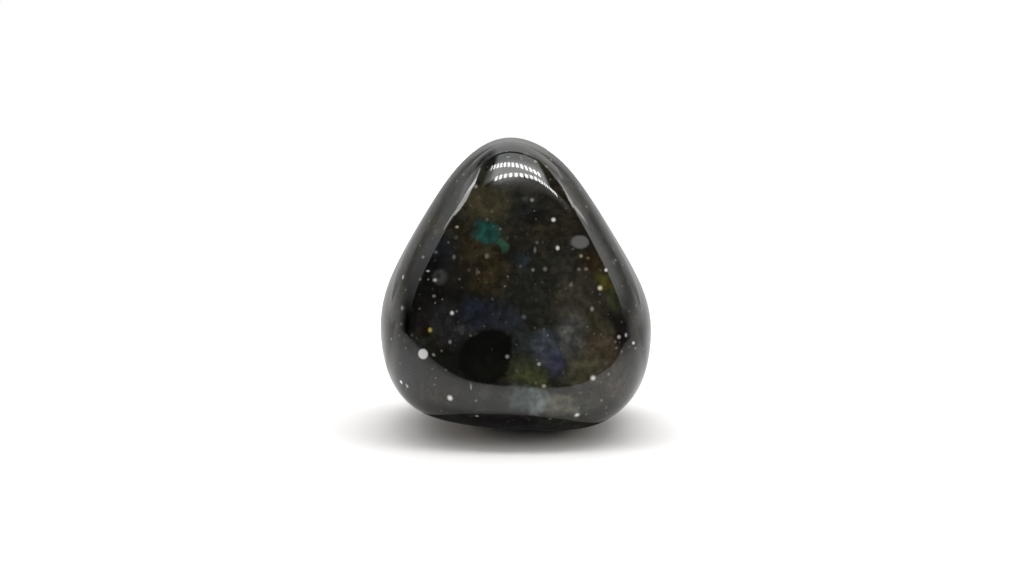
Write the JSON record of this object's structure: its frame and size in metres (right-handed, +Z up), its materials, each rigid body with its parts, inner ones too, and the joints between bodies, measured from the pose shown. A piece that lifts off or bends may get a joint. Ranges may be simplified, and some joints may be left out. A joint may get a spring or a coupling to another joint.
{
  "type": "tumbled stone",
  "caption": "Polished dark tumbled stone, a rounded three-cornered pebble that stands on a small flat spot, for display or decoration.",
  "frame": {"origin": "on the ground under the middle of the stone, at the bottom centre of its box", "axes": "+Z up towards the blunt tip, +X to the right and -Y to the front, where the broadest face looks"},
  "size_m": [0.0238, 0.0173, 0.0256],
  "materials": {
    "stone": "high-gloss tumbled polish, near black with faint patches of colour and fine pale flecks"
  },
  "bodies": {
    "root": {"tumbled_stone": "stone"}
  },
  "joints": []
}
